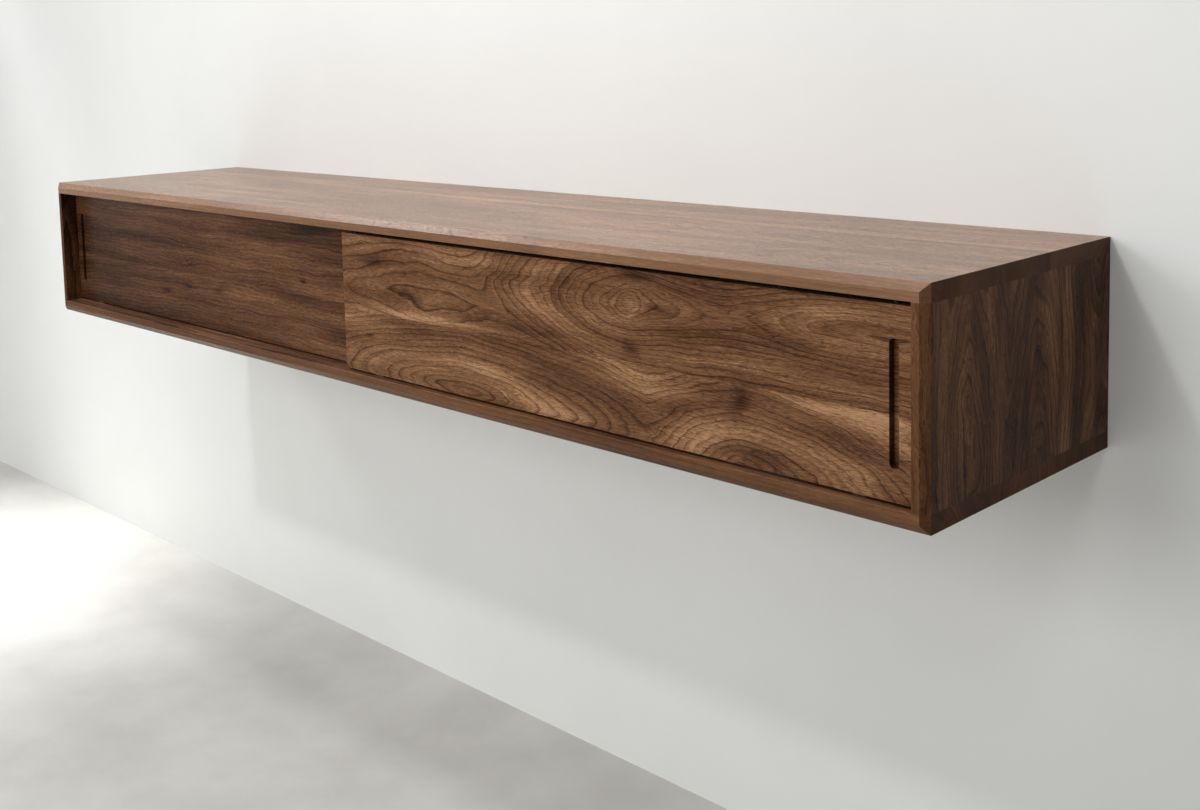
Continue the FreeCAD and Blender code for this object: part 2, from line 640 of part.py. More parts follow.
def build_door(name, side, face):
    """One door and what it carries: side is 1 for the right door and -1 for the left."""
    at = (f"{side} * door_middle", face, "door_underside - fixing_height")

    cavities = new_body(f"{name}_door_cavities")
    draw_housings(cavities, "pilot_gap")
    draw_pins(cavities, "pilot_gap")
    pull = draw(cavities, "XZ")
    stadium(pull, f"{side} * (door_width / 2 - pull_inset)", "door_height / 2", "pull_length", "pull_width")
    pad(cavities, pull, "pull_depth")
    pilots = screws(f"{name}_pilots", door_screw_points(), "+Z",
                    "flange_screw_radius", "flange_screw_length", "pilot_gap")
    door_cuts = group(f"{name}_door_cuts", [cavities, pilots])

    seam = "door_lower_width"
    for board, low, high in (("lower", "0", seam), ("upper", seam, "door_height")):
        stock = new_body(f"{name}_door_{board}_stock")
        face_view = draw(stock, "XZ")
        rectangle(face_view, "-door_width / 2", "door_width / 2", low, high)
        pad(stock, face_view, "door_thickness")
        keep(cut_piece(f"{name}_door_{board}_board", stock, door_cuts), *at)

    housings = new_body(f"{name}_housing_stock")
    draw_housings(housings, "0")
    wells = draw(housings, "XY")
    for x in ROLLER_PLACES:
        reach = "roller_radius + housing_well_gap"
        rectangle(wells, f"{x} - ({reach})", f"{x} + {reach}",
                  "door_core - housing_well_width / 2", "door_core + housing_well_width / 2")
    pocket(housings, wells, "axle_height + roller_radius + housing_well_gap")
    axle_bores = new_body(f"{name}_axle_bores")
    draw_axles(axle_bores, "axle_fit", "1")
    housing_cuts = group(f"{name}_housing_cuts", [axle_bores, pilots])
    keep(cut_piece(f"{name}_roller_housings", housings, housing_cuts), *at)

    axles = new_body(f"{name}_roller_axles")
    draw_axles(axles, "0")
    keep(axles, *at)

    pins = new_body(f"{name}_guide_pins")
    draw_pins(pins, "0")
    heads = draw(pins, "XY", "door_height")
    for x in PIN_PLACES:
        circle(heads, x, "door_core", "pin_radius")
    pad(pins, heads, "head_gap + pin_engagement")
    keep(pins, *at)

    keep(screws(f"{name}_housing_screws", door_screw_points(), "+Z",
                "flange_screw_radius", "flange_screw_length"), *at)

    # A roller is a disc with a hub, turned about its axle. The outer one is near the pull.
    for where, sign in (("outer", side), ("inner", -side)):
        roller = new_body(f"{name}_{where}_roller")
        half_hub = "(housing_well_width / 2 - roller_hub_gap)"
        half_rim = "roller_width / 2"
        bore = "axle_radius + axle_running_gap"
        section = draw(roller, "YZ")
        outline = [
            (half_hub, bore), (half_hub, "roller_hub_radius"),
            (half_rim, "roller_hub_radius"), (half_rim, "roller_radius - roller_rim"),
            (f"{half_rim} - roller_rim", "roller_radius"),
        ]
        mirrored = [(f"-({y})", z) for y, z in reversed(outline)]
        polygon(section, outline + mirrored)
        turned = roller.newObject("PartDesign::Revolution", "Revolution")
        turned.Profile = section
        turned.ReferenceAxis = (section, ["H_Axis"])
        turned.Angle = 360
        keep(roller, f"{at[0]} + {sign} * (door_width / 2 - roller_inset)",
             f"{face} + door_core", f"{at[2]} + axle_height")


build_door("right", 1, "front_door_face")
build_door("left", -1, "rear_door_face")

# ---------------------------------------------------------------- check and export

doc.recompute()
for thing in doc.Objects:
    if {"Invalid", "Error"} & set(thing.State):
        raise RuntimeError(f"{thing.Label} failed: {thing.State}")

os.makedirs("parts", exist_ok=True)
for node in nodes:
    if node.Shape.isNull() or not node.Shape.isValid() or not node.Shape.Solids:
        raise RuntimeError(f"{node.Label} has no sound solid")
    if node.TypeId == "Part::Cut" and node.Shape.Volume > node.Base.Shape.Volume - 0.01:
        raise RuntimeError(f"nothing was cut from {node.Label}")
    node.Shape.exportStep(f"parts/{node.Label}.step")
    print(node.Label, len(node.Shape.Solids), "solids")
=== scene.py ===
# A wall-hung walnut media console with two sliding doors that pass each other.
#
# Metres. X runs along the wall, with +X to the right as the doors are faced, -Y comes out of the
# wall towards the room and +Z is up. The back of the case lies in the plane Y = 0, and the
# origin is the middle of the line of screw holes in the wall cleat.

import math

import bmesh
import bpy
from mathutils import Euler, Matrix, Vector


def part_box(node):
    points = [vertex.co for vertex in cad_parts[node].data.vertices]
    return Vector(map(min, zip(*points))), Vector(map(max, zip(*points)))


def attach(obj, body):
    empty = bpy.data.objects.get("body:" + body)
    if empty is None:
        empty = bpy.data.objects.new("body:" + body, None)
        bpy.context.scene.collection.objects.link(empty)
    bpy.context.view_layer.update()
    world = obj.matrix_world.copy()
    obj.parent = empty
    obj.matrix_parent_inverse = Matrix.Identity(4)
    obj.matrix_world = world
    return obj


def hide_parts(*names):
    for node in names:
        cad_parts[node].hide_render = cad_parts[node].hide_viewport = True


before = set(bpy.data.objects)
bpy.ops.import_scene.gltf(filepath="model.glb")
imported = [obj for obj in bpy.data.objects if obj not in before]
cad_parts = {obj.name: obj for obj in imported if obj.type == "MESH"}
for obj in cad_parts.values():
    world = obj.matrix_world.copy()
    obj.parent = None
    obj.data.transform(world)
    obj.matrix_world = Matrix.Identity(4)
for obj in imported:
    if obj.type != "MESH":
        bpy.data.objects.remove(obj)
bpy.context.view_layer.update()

# ---------------------------------------------------------------- the top
#
# Two black walnut boards, glued edge to edge and worked as one panel. A chamfer runs along the
# front and down both front corners, and the underside is mortised and grooved for the ends, the
# rails, the back panels and the door channels. The finish is hand-rubbed oil, satin.

MM = 0.001
CHAMFER_FACE = 9.4 * MM
CHAMFER_DEPTH = 6.7 * MM
ARRIS = 0.5 * MM
INNER_ARRIS = 1.1 * MM
GLUE_GAP = 0.1 * MM
PANEL_PLAY = 0.15 * MM
SAME = 0.02 * MM
MERGED = SAME / 10
SQUARE_ON = 0.9


def span(*nodes):
    """The lowest and the highest corner of some nodes of the frame, taken together."""
    boxes = [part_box(node) for node in nodes]
    low = Vector([min(box[0][axis] for box in boxes) for axis in range(3)])
    high = Vector([max(box[1][axis] for box in boxes) for axis in range(3)])
    return low, high


def block(name, low, high):
    """Wood planed square between two corners, with its place in its mesh."""
    bpy.ops.object.select_all(action="DESELECT")
    bpy.ops.mesh.primitive_cube_add(size=1, location=(low + high) / 2, scale=high - low)
    piece = bpy.context.object
    piece.name = piece.data.name = name
    bpy.ops.object.transform_apply()
    return piece


def open_up(piece):
    """Puts one piece on the bench: edit mode, with nothing selected."""
    bpy.ops.object.select_all(action="DESELECT")
    piece.select_set(True)
    bpy.context.view_layer.objects.active = piece
    bpy.ops.object.mode_set(mode="EDIT")
    bpy.ops.mesh.select_mode(type="EDGE")
    bpy.ops.mesh.select_all(action="DESELECT")


def close_up():
    """Takes the piece off the bench again."""
    bpy.ops.object.mode_set(mode="OBJECT")


def saw(piece, point, outward, keep_waste=False):
    """Saws through a plane, and drops what lies outward of it unless the waste is kept."""
    open_up(piece)
    bpy.ops.mesh.select_all(action="SELECT")
    bpy.ops.mesh.bisect(
        plane_co=point, plane_no=Vector(outward).normalized(), threshold=MERGED,
        clear_outer=not keep_waste, use_fill=not keep_waste,
    )
    close_up()


def ease(piece, radius, wanted, segments=3):
    """Rounds over the edges whose two ends both pass a test."""
    open_up(piece)
    mesh = bmesh.from_edit_mesh(piece.data)
    for edge in mesh.edges:
        edge.select_set(all(wanted(corner.co) for corner in edge.verts))
    bmesh.update_edit_mesh(piece.data)
    bpy.ops.mesh.bevel(offset=radius, segments=segments, profile=0.5)
    close_up()


def near(a, b):
    """Whether two places are the same, as closely as the work is measured."""
    return abs(a - b) < SAME


def cut(piece, cutter):
    """Cuts one shape out of a piece."""
    modifier = piece.modifiers.new("Cut", "BOOLEAN")
    modifier.operation = "DIFFERENCE"
    modifier.solver = "EXACT"
    modifier.object = cutter
    bpy.context.view_layer.objects.active = piece
    bpy.ops.object.modifier_apply(modifier=modifier.name)
    bpy.data.objects.remove(cutter)


def joint(piece, *fasteners, play=GLUE_GAP):
    """Cuts the holes or grooves that hold some nodes of the frame, with a little play."""
    for node in fasteners:
        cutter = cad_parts[node].copy()
        cutter.data = cutter.data.copy()
        bpy.context.collection.objects.link(cutter)
        open_up(cutter)
        bpy.ops.mesh.select_all(action="SELECT")
        bpy.ops.mesh.remove_doubles(threshold=MERGED)
        bpy.ops.transform.shrink_fatten(value=play)
        close_up()
        bpy.ops.mesh.customdata_custom_splitnormals_clear()
        cut(piece, cutter)


def groove(piece, node, play=0.0):
    """Cuts the straight groove that a strip or panel lies in."""
    low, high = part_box(node)
    room = Vector((play, play, play))
    cut(piece, block("groove", low - room, high + room))


def boards_of(panel, nodes, axis, body, finish):
    """Parts a glued panel at its seams, one board for each node of the frame. The finish of a
    board is one material, or two, of which the second goes on the ends."""
    panel_low, panel_high = (Vector(corner) for corner in (panel.bound_box[0], panel.bound_box[6]))
    for node in nodes:
        board = panel.copy()
        board.data = panel.data.copy()
        board.name = board.data.name = "oiled_" + node
        bpy.context.collection.objects.link(board)
        for seam, side in zip(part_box(node), (-1, 1)):
            if panel_low[axis] + SAME < seam[axis] < panel_high[axis] - SAME:
                outward = Vector()
                outward[axis] = side
                saw(board, seam, outward)
        for material in finish[node]:
            board.data.materials.append(material)
        for face in board.data.polygons:
            is_end = abs(face.normal.x) > SQUARE_ON
            face.material_index = int(is_end and len(finish[node]) > 1)
        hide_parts(node)
        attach(board, body)
    bpy.data.objects.remove(panel)


# how far through a board a lighter or darker place reaches, in millimetres
SPOT_DEPTH = 40


class Finish:
    """A material as it is built up: each method adds a node and gives back what it puts out."""

    def __init__(self, name):
        self.material = bpy.data.materials.new(name)
        self.material.use_nodes = True
        self.tree = self.material.node_tree
        self.surface = self.tree.nodes["Principled BSDF"]

    def add(self, kind, sockets, **settings):
        node = self.tree.nodes.new("ShaderNode" + kind)
        for name, setting in settings.items():
            setattr(node, name, setting)
        for name, given in sockets.items():
            self.feed(node.inputs[name], given)
        return node

    def feed(self, socket, given):
        if isinstance(given, bpy.types.NodeSocket):
            self.tree.links.new(given, socket)
        else:
            socket.default_value = given

    def maths(self, operation, *given, clamp=False):
        sockets = dict(enumerate(given))
        return self.add("Math", sockets, operation=operation, use_clamp=clamp).outputs[0]

    def vectors(self, operation, *given):
        node = self.add("VectorMath", dict(enumerate(given)), operation=operation)
        single = operation in ("LENGTH", "DOT_PRODUCT", "DISTANCE")
        return node.outputs["Value" if single else "Vector"]

    def parts(self, vector):
        return self.add("SeparateXYZ", {"Vector": vector}).outputs

    def join(self, x, y, z):
        return self.add("CombineXYZ", {"X": x, "Y": y, "Z": z}).outputs[0]

    def noise(self, at, stretch, detail=2.0, roughness=0.5, output=0):
        """Cloudy noise from 0 to 1; stretch is how many clouds there are to a unit each way."""
        place = self.vectors("MULTIPLY", at, stretch)
        sockets = {"Vector": place, "Scale": 1.0, "Detail": detail, "Roughness": roughness}
        return self.add("TexNoise", sockets).outputs[output]

    def swing(self, noise, reach):
        """Turns noise from 0..1 into a swing either side of nothing."""
        return self.maths("MULTIPLY_ADD", noise, 2 * reach, -reach)

    def roughen(self, height, depth, strength):
        """Raises and lowers the surface by a height from 0 to 1 that is worth depth in metres."""
        bump = self.add("Bump", {"Height": height, "Strength": strength, "Distance": depth})
        self.feed(self.surface.inputs["Normal"], bump.outputs[0])

    def spot(self, at, along, across, half_length, half_width):
        """1 at a place on the board's face, fading to nothing about twice its half sizes away."""
        offset = self.vectors("SUBTRACT", at, (along, across, 0))
        offset = self.vectors("DIVIDE", offset, (half_length, half_width, SPOT_DEPTH))
        return self.maths("POWER", math.exp(-1), self.vectors("DOT_PRODUCT", offset, offset))

    def ramp(self, along, stops):
        """Colours or greys that run into one another, each at its place from 0 to 1."""
        node = self.add("ValToRGB", {"Fac": along})
        elements = node.color_ramp.elements
        while len(elements) < len(stops):
            elements.new(1.0)
        for element, (place, colour) in zip(elements, stops):
            element.position = place
            element.color = (*colour, 1.0) if isinstance(colour, tuple) else (colour,) * 3 + (1.0,)
        return node.outputs[0]


WALNUT = (
    (0.00, (0.017, 0.006, 0.003)),
    (0.25, (0.050, 0.020, 0.009)),
    (0.50, (0.120, 0.053, 0.024)),
    (0.72, (0.214, 0.104, 0.050)),
    (1.00, (0.430, 0.238, 0.122)),
)
FLAT = (0, 0, 0)
ON_EDGE = (math.pi / 2, 0, 0)
UPRIGHT = (0, math.pi / 2, 0)

# how far rings are drawn out to a point, and how softly, in millimetres, those of two piths meet
POINTED = 0.2
SOFTLY = 25

# how far the grain strays, in millimetres along the board, across it and through it
BEND = Vector((26, 9, 9))
RIPPLE = Vector((9, 2.2, 2.2))

# clouds to a millimetre along the grain, across the board and through it
SLOW_BENDS = (0.006, 0.02, 0.02)
QUICK_RIPPLES = (0.02, 0.06, 0.06)
RING_WIDTHS = (0.004, 0.01, 0.01)
BROAD_SHADES = (0.004, 0.03, 0.03)
FIBRES = (0.02, 0.55, 0.55)
FINE_GRAIN = (0.08, 1.4, 1.4)
OPEN_PORES = (0.14, 1.15, 1.15)

# how dark one ring is on the way from its early wood to its last
ONE_RING = ((0.0, 0.0), (0.35, 0.03), (0.62, 0.12), (0.80, 0.40), (0.92, 1.0), (1.0, 0.0))

# what moves a board to another place in the noise, for each step of its seed
ANOTHER_TREE = Vector((97, 53, 31))

# how much lighter or darker each feature makes the wood, of the whole way from dark to light
GOOD_YEARS = 0.46
WITHIN_YEARS = 0.17
BROADLY = 0.35
ALONG_FIBRES = 0.20
FINELY = 0.32
LATE_WOOD = 0.36
IN_PORES = 0.26
END_GRAIN = 0.55
CALM_EDGE = 0.5

# how strongly the oil shines, and how rough it leaves the wood
SATIN = 0.08
MATT_END = 0.03
OILED = 0.26
ROUGHER_PORES = 0.16
PORE_DEPTH = 0.1 * MM
GRAIN_TO_PORES = 0.3


def hearts(*places, knots=()):
    """Growth rings round piths that dip in and out of the board, as the distance in millimetres
    from the nearest. Each place is along, across, how long drawn back and on, and how deep; each
    knot lifts the rings round it, as along, across, half length, half width and height."""
    def field(make, at):
        rings = None
        for along, across, back, on, deep in places:
            from_pith = make.parts(make.vectors("SUBTRACT", at, (along, across, deep)))
            drawn = make.maths("MAXIMUM", make.maths("DIVIDE", from_pith[0], on),
                               make.maths("DIVIDE", from_pith[0], -back))
            away = make.vectors("LENGTH", make.join(drawn, from_pith[1], from_pith[2]))
            cornered = make.maths("ADD", drawn, make.maths("ABSOLUTE", from_pith[1]))
            reach = make.maths("MULTIPLY_ADD", cornered, POINTED, away)
            reach = make.maths("MULTIPLY", reach, 1 / (1 + POINTED))
            rings = reach if rings is None else make.maths("SMOOTH_MIN", rings, reach, SOFTLY)
        for along, across, half_length, half_width, height in knots:
            spread = make.spot(at, along, across, half_length, half_width)
            rings = make.maths("MULTIPLY_ADD", spread, -height, rings)
        return rings
    return field


def wood(name, turn, corner, figure, seed, colours=WALNUT, tone=0.62, contrast=1.0, wander=1.0,
         smudges=(), ring=6.4, polish=SATIN, painted_edge_shading=-0.05):
    """Solid wood. Its own axes, in millimetres from a corner, run along the grain, across the
    board and through it. The figure gives the growth rings there, ring millimetres apart, tone is
    how light it is, the edge shading how much lighter the edges are painted than the faces, as
    painted light and shade for how the edges are lit, and wander how far it strays from straight.
    The marks and painted shade are lighter and darker places, as along, across, half length, half
    width and amount."""
    make = Finish(name)
    make.surface.inputs["Specular IOR Level"].default_value = polish
    at = make.add("Mapping", {
        "Vector": make.add("TexCoord", {}).outputs["Object"],
        "Location": -(Euler(turn).to_matrix() @ Vector(corner)) / MM,
        "Rotation": turn,
        "Scale": (1 / MM,) * 3,
    }).outputs[0]
    other_tree = ANOTHER_TREE * seed
    moved = make.vectors("ADD", at, other_tree)

    # the grain bends slowly, and ripples a little on the way
    bend, ripple = BEND * wander, RIPPLE * wander
    slow = make.noise(moved, SLOW_BENDS, output="Color")
    quick = make.noise(moved, QUICK_RIPPLES, output="Color")
    warped = make.vectors("ADD", at, make.vectors("MULTIPLY_ADD", slow, 2 * bend, -bend))
    warped = make.vectors("ADD", warped, make.vectors("MULTIPLY_ADD", quick, 2 * ripple, -ripple))
    drift = make.vectors("ADD", warped, other_tree)

    # growth rings: each ends in a dark line, stronger in some years than in others
    rings = make.maths("MULTIPLY", figure(make, warped), 1 / ring)
    uneven = make.noise(moved, RING_WIDTHS, detail=1.0)
    rings = make.maths("ADD", rings, make.swing(uneven, 0.5))
    late_wood = make.ramp(make.maths("FRACT", rings), ONE_RING)
    along = make.parts(moved)[0]

    def by_year(across_rings, along_grain, detail):
        """Noise that follows the rings: how fast it changes from ring to ring and along them."""
        years = make.maths("MULTIPLY", rings, across_rings)
        place = make.join(make.maths("MULTIPLY", along, along_grain), years, seed)
        return make.noise(place, (1, 1, 1), detail, 0.6)

    strong_years = by_year(across_rings=0.7, along_grain=0.002, detail=1.0)
    strength = make.maths("MULTIPLY_ADD", strong_years, 2.0, -0.3, clamp=True)
    fine = make.noise(drift, FINE_GRAIN, detail=1.0, roughness=0.6)
    pores = make.add("MapRange", {
        "Value": make.noise(drift, OPEN_PORES, detail=1.0), "From Min": 0.56, "From Max": 0.66,
    }).outputs[0]

    value = tone
    for noise, reach in (
        (by_year(across_rings=0.22, along_grain=0.0015, detail=3.0), GOOD_YEARS * contrast),
        (by_year(across_rings=3.1, along_grain=0.007, detail=2.0), WITHIN_YEARS * contrast),
        (make.noise(moved, BROAD_SHADES), BROADLY * contrast),
        (make.noise(drift, FIBRES, detail=3.0, roughness=0.65), ALONG_FIBRES),
        (fine, FINELY),
    ):
        value = make.maths("ADD", make.swing(noise, reach), value)
    ring_lines = make.maths("MULTIPLY", late_wood, strength)
    for dark, amount in ((ring_lines, LATE_WOOD * contrast), (pores, IN_PORES)):
        value = make.maths("MULTIPLY_ADD", dark, -amount, value)
    # marks in the wood, and painted shade where a board is given it
    for place_along, across, half_length, half_width, amount in smudges:
        spot = make.spot(warped, place_along, across, half_length, half_width)
        value = make.maths("MULTIPLY_ADD", spot, amount, value)

    # an edge is calmer than a face and takes a painted light and shade of its own for how the edges
    # are lit, and end grain drinks the oil and goes darker
    facing = make.vectors("ABSOLUTE", make.add("TexCoord", {}).outputs["Normal"])
    turned_back = Euler(turn).to_matrix().inverted()
    edge, end_grain = (
        make.vectors("DOT_PRODUCT", facing, [abs(part) for part in turned_back @ Vector(way)])
        for way in ((0, 1, 0), (1, 0, 0))
    )
    calm = make.maths("MULTIPLY_ADD", edge, -CALM_EDGE, 1.0)
    value = make.maths("MULTIPLY", make.maths("SUBTRACT", value, tone), calm)
    value = make.maths("ADD", value, make.maths("MULTIPLY_ADD", edge, painted_edge_shading, tone))
    value = make.maths("MULTIPLY", value, make.maths("MULTIPLY_ADD", end_grain, -END_GRAIN, 1.0))

    make.feed(make.surface.inputs["Base Color"], make.ramp(value, colours))
    roughness = make.maths("MULTIPLY_ADD", pores, ROUGHER_PORES, OILED)
    make.feed(make.surface.inputs["Roughness"], roughness)
    height = make.maths("MULTIPLY_ADD", fine, GRAIN_TO_PORES, make.maths("MULTIPLY", pores, -1.0))
    make.roughen(height, PORE_DEPTH, strength=0.25)
    return make.material


def level_board(name, corner, polish=SATIN, **looks):
    """The finish of a level board's faces, and of its two ends, which are left matt."""
    return (wood(name, FLAT, corner, polish=polish, **looks),
            wood(name + "_ends", FLAT, corner, polish=MATT_END, **looks))


TOP = ("top_front_board", "top_back_board")
top_low, top_high = span(*TOP)
inner_left, inner_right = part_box("left_end_front_board")[1].x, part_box("right_end_front_board")[0].x


def round_inner_arris(panel, y, z):
    """Eases the front edge that faces the doors, only between the two ends."""
    for x in (inner_left, inner_right):
        saw(panel, (x, 0, 0), (1, 0, 0), keep_waste=True)
    ease(panel, INNER_ARRIS, lambda at: near(at.y, y) and near(at.z, z)
         and inner_left - SAME < at.x < inner_right + SAME)


def chamfer_corners(panel, low, high):
    """Takes the chamfer down the two front corners."""
    for side, x in ((-1, low.x), (1, high.x)):
        saw(panel, (x, low.y + CHAMFER_DEPTH, 0), (side * CHAMFER_DEPTH, -CHAMFER_FACE, 0))


def house(panel, tracks):
    """Cuts what the top and the bottom both have: grooves for two tracks and two back panels."""
    for node in tracks:
        groove(panel, node)
    for node in ("left_back_panel", "right_back_panel"):
        groove(panel, node, play=PANEL_PLAY)


top = block("top", top_low, top_high)
saw(top, (0, top_low.y + CHAMFER_DEPTH, top_high.z), (0, -CHAMFER_FACE, CHAMFER_DEPTH))
chamfer_corners(top, top_low, top_high)
round_inner_arris(top, top_low.y, top_low.z)
joint(top, "corner_tenons", "divider_dowels", "rail_dowels")
house(top, ("front_top_channel", "rear_top_channel"))
top_corner = (top_low.x, top_low.y, top_high.z)
# Painted light: the two top boards are toned paler than the rest of the case for the light and the
# sheen that the top takes from above.
boards_of(top, TOP, 1, "case", {
    "top_front_board": level_board(
        "walnut_top_front", top_corner, seed=1.0,
        wander=0.3, tone=0.78, contrast=0.6, polish=0.3,
        figure=hearts((900, 4, 60, 60, -60), (500, 140, 14, 14, -30), (1850, 205, 5, 5, -6),
                      (1900, 80, 3, 3, -12)),
        smudges=((1500, 252, 600, 7, -0.12), (1370, 0, 30, 20, -0.2)),
    ),
    "top_back_board": level_board(
        "walnut_top_back", top_corner, seed=2.0,
        wander=0.4, tone=0.78, contrast=0.6, polish=0.3,
        figure=hearts((900, 400, 14, 14, -60)),
        smudges=((1300, 272, 900, 12, 0.20),),
    ),
})

# ---------------------------------------------------------------- the bottom
#
# Three walnut boards, glued and worked as one panel like the top. The chamfer runs under the
# front edge, and the upper side is grooved for the door tracks.

BOTTOM = ("bottom_front_board", "bottom_middle_board", "bottom_back_board")
bottom_low, bottom_high = span(*BOTTOM)
bottom = block("bottom", bottom_low, bottom_high)
saw(bottom, (0, bottom_low.y + CHAMFER_DEPTH, bottom_low.z), (0, -CHAMFER_FACE, -CHAMFER_DEPTH))
chamfer_corners(bottom, bottom_low, bottom_high)
round_inner_arris(bottom, bottom_low.y, bottom_high.z)
joint(bottom, "corner_tenons", "divider_dowels", "spacer_dowels")
house(bottom, ("front_bottom_track", "rear_bottom_track"))
bottom_corner = (bottom_low.x, bottom_low.y, bottom_high.z)
boards_of(bottom, BOTTOM, 1, "case", {
    "bottom_front_board": level_board(
        "walnut_bottom_front", bottom_corner, seed=3.0, wander=0.3, tone=0.60,
        figure=hearts((900, 4, 60, 60, -60), (700, 110, 12, 12, -40)),
    ),
    "bottom_middle_board": level_board(
        "walnut_bottom_middle", bottom_corner, seed=4.0, wander=0.6, tone=0.66,
        figure=hearts((1300, 200, 9, 9, -20)),
    ),
    "bottom_back_board": level_board(
        "walnut_bottom_back", bottom_corner, seed=5.0, wander=0.6, tone=0.56,
        figure=hearts((500, 420, 11, 11, -30)),
    ),
})

# ---------------------------------------------------------------- the ends
#
# Each end is two walnut boards with upright grain, glued to each other and, on loose tenons,
# between the top and the bottom. The front corners carry on the chamfer of the top.

for name, side in (("left", -1), ("right", 1)):
    END = (f"{name}_end_front_board", f"{name}_end_back_board")
    end_low, end_high = span(*END)
    outer_x, inner_x = (end_low.x, end_high.x) if side < 0 else (end_high.x, end_low.x)
    end = block(name + "_end", end_low, end_high)
    saw(end, (outer_x, end_low.y + CHAMFER_DEPTH, 0), (side * CHAMFER_DEPTH, -CHAMFER_FACE, 0))
    ease(end, INNER_ARRIS, lambda at: near(at.y, end_low.y) and near(at.x, inner_x))
    joint(end, "corner_tenons", "rail_dowels", "spacer_dowels")
    groove(end, f"{name}_back_panel", play=PANEL_PLAY)
    end_corner = (outer_x, end_low.y, end_high.z)
    # Painted shade: the right end is toned darker than the doors and the top, for its outer side that
    # faces away from the light, and the left end darker still, for its inner face in the shade inside
    # the case. The front board's front edge is painted lighter, as painted light.
    boards_of(end, END, 1, "case", {
        END[0]: [wood(
            f"walnut_{name}_end_front", UPRIGHT, end_corner, seed=6.0 + side, polish=0.04,
            wander=2.0, tone=0.46 if side > 0 else 0.28, painted_edge_shading=0.08, contrast=1.1, ring=8.5,
            figure=hearts((-100, 2, 40, 40, -64), (-172, 84, 3.2, 3.2, -4), (-290, 228, 4, 4, -6),
                          knots=((-110, 78, 26, 16, 14),)),
            smudges=((-166, 82, 5, 3, 0.15),),
        )],
        END[1]: [wood(
            f"walnut_{name}_end_back", UPRIGHT, end_corner, seed=8.0 + side, polish=0.04,
            wander=1.6, tone=0.44 if side > 0 else 0.28, contrast=1.1, ring=8.5,
            figure=hearts((40, 379, 3.5, 3.5, -6), (-270, 382, 3.5, 3.5, -6)),
        )],
    })

# ---------------------------------------------------------------- tenons and dowels
#
# The case is held together by loose tenons and dowels of beech, glued into the mortises and
# holes cut above. None of them shows once it is glued up.

BEECH = (
    (0.0, (0.300, 0.160, 0.080)),
    (0.5, (0.520, 0.330, 0.190)),
    (1.0, (0.700, 0.500, 0.320)),
)
SIDEWAYS = (0, 0, math.pi / 2)
STRAIGHT = hearts((0, 300, 60, 60, -200))


def dress(material, *nodes):
    """Gives nodes of the frame, which keep their shape, their finish."""
    for node in nodes:
        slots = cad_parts[node].data.materials
        slots.clear()
        slots.append(material)


beech_upright = wood("beech_upright", UPRIGHT, (0, 0, 0), STRAIGHT, seed=11.0, colours=BEECH,
                     tone=0.6, wander=0.2)
beech_across = wood("beech_across", SIDEWAYS, (0, 0, 0), STRAIGHT, seed=12.0, colours=BEECH,
                    tone=0.6, wander=0.2)
dress(beech_upright, "corner_tenons", "divider_dowels")
dress(beech_across, "rail_dowels", "spacer_dowels")

# ---------------------------------------------------------------- the divider
#
# One upright walnut board under the middle of the top, on dowels, with an opening for cables. It
# stops short of the doors, which pass in front of it.

divider_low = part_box("centre_divider")[0]
dress(wood("walnut_divider", UPRIGHT, divider_low, seed=15.0, tone=0.58, wander=0.7,
           figure=hearts((60, 150, 9, 9, -20))), "centre_divider")

# ---------------------------------------------------------------- the back panels
#
# Two panels of walnut-faced plywood lie loose in grooves all round, each with an outlet for
# cables whose edges show the plies.

PLIES = 5
WALNUT_VENEER = (
    (0.25, (0.060, 0.026, 0.013)),
    (0.55, (0.135, 0.062, 0.032)),
    (0.80, (0.220, 0.115, 0.062)),
)
BARE_PLIES = ((0.0, (0.30, 0.19, 0.11)), (1.0, (0.52, 0.38, 0.24)))

# clouds to a metre along the wall, into it and upwards
VENEER_FIGURE = (1.5, 40, 26)
VENEER_PORES = (9, 900, 700)
PLY_FIBRES = (300, 900, 300)


def plywood(node):
    """Walnut veneer on a panel's faces, and its bare plies wherever it is cut."""
    low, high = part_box(node)
    make = Finish("ply_" + node)
    make.surface.inputs["Specular IOR Level"].default_value = SATIN
    place = make.add("TexCoord", {}).outputs["Object"]
    veneer = make.noise(place, VENEER_FIGURE, detail=3.0, roughness=0.6)
    veneer = make.maths("ADD", veneer, make.swing(make.noise(place, VENEER_PORES), 0.2))
    face = make.ramp(veneer, WALNUT_VENEER)
    plies_to_a_metre = PLIES / (high.y - low.y)
    ply = make.maths("MULTIPLY_ADD", make.parts(place)[1], plies_to_a_metre,
                     -low.y * plies_to_a_metre)
    odd_ply = make.maths("MODULO", make.maths("FLOOR", ply), 2.0)
    edge = make.maths("ADD", odd_ply, make.swing(make.noise(place, PLY_FIBRES), 0.5))
    core = make.ramp(edge, BARE_PLIES)
    facing = make.vectors("ABSOLUTE", make.add("TexCoord", {}).outputs["Normal"])
    both = make.add("Mix", {"Factor": make.parts(facing)[1], "A": core, "B": face}, data_type="RGBA")
    make.feed(make.surface.inputs["Base Color"], both.outputs[2])
    make.feed(make.surface.inputs["Roughness"], make.maths("MULTIPLY_ADD", veneer, 0.2, 0.3))
    return make.material


for node in ("left_back_panel", "right_back_panel"):
    dress(plywood(node), node)

# ---------------------------------------------------------------- rail, spacer and cleat
#
# Planed poplar, left bare. The hanging rail hooks over the cleat, which is screwed to the wall,
# and the lower spacer keeps the case upright.

